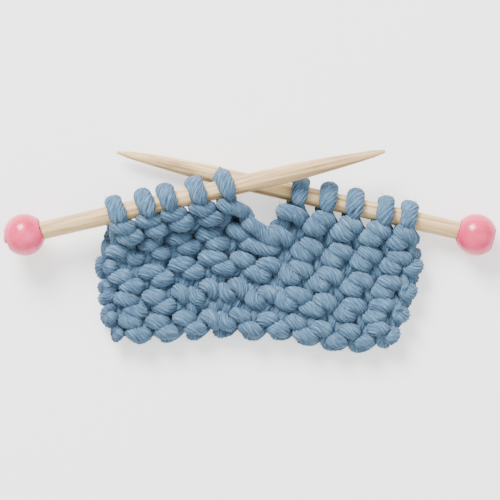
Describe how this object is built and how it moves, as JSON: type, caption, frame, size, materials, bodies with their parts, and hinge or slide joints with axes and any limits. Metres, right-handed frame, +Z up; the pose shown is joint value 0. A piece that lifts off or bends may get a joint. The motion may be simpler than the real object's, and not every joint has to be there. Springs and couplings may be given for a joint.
{
  "type": "knitting needles with knitting in progress",
  "caption": "Pair of crossed single pointed knitting needles with round head beads, carrying a small piece of garter stitch on live loops.",
  "frame": {"origin": "middle of the object's outline in plan, on the surface that it lies on", "axes": "+X from the left bead to the right bead, +Y from the cast-on edge to the live stitches, +Z up out of the table"},
  "size_m": [0.082, 0.0328, 0.0098],
  "materials": {
    "wood": "fine sanded pale wood",
    "bead_paint": "glossy pink paint",
    "yarn": "soft plied yarn"
  },
  "bodies": {
    "left_fabric": {"left_course_1": "yarn", "left_course_2": "yarn", "left_course_3": "yarn", "left_course_4": "yarn", "left_course_5": "yarn", "left_course_6": "yarn", "left_course_7": "yarn", "left_course_8": "yarn", "left_cast_on": "yarn"},
    "right_fabric": {"right_course_1": "yarn", "right_course_2": "yarn", "right_course_3": "yarn", "right_course_4": "yarn", "right_course_5": "yarn", "right_course_6": "yarn", "right_course_7": "yarn", "right_course_8": "yarn", "right_cast_on": "yarn"},
    "left_loops": {"left_stitch_1": "yarn", "left_stitch_2": "yarn", "left_stitch_3": "yarn", "left_stitch_4": "yarn", "left_stitch_5": "yarn"},
    "right_loops": {"right_stitch_1": "yarn", "right_stitch_2": "yarn", "right_stitch_3": "yarn", "right_stitch_4": "yarn", "right_stitch_5": "yarn"},
    "left_needle_body": {"left_needle": "wood", "left_bead": "bead_paint"},
    "right_needle_body": {"right_needle": "wood", "right_bead": "bead_paint"}
  },
  "joints": [
    {"name": "fabric_spread", "type": "hinge", "parent": "left_fabric", "child": "right_fabric", "pos_m": [0.0015, -0.0136, 0], "axis": [0, 0, -1], "range_deg": [0, 10]},
    {"name": "left_needle_roll", "type": "hinge", "parent": "left_fabric", "child": "left_loops", "pos_m": [-0.03751, 0.00237, 0.0056], "axis": [0.9737, 0.2248, 0.0383], "range_deg": [-25, 25]},
    {"name": "left_needle_slide", "type": "slide", "parent": "left_loops", "child": "left_needle_body", "axis": [-0.9737, -0.2248, -0.0383], "range_m": [-0.0085, 0.0485]},
    {"name": "right_needle_roll", "type": "hinge", "parent": "right_fabric", "child": "right_loops", "pos_m": [0.03771, 0.00237, 0.0035], "axis": [-0.9742, 0.2249, -0.0199], "range_deg": [-25, 25]},
    {"name": "right_needle_slide", "type": "slide", "parent": "right_loops", "child": "right_needle_body", "axis": [0.9742, -0.2249, 0.0199], "range_m": [-0.0065, 0.0525]}
  ]
}
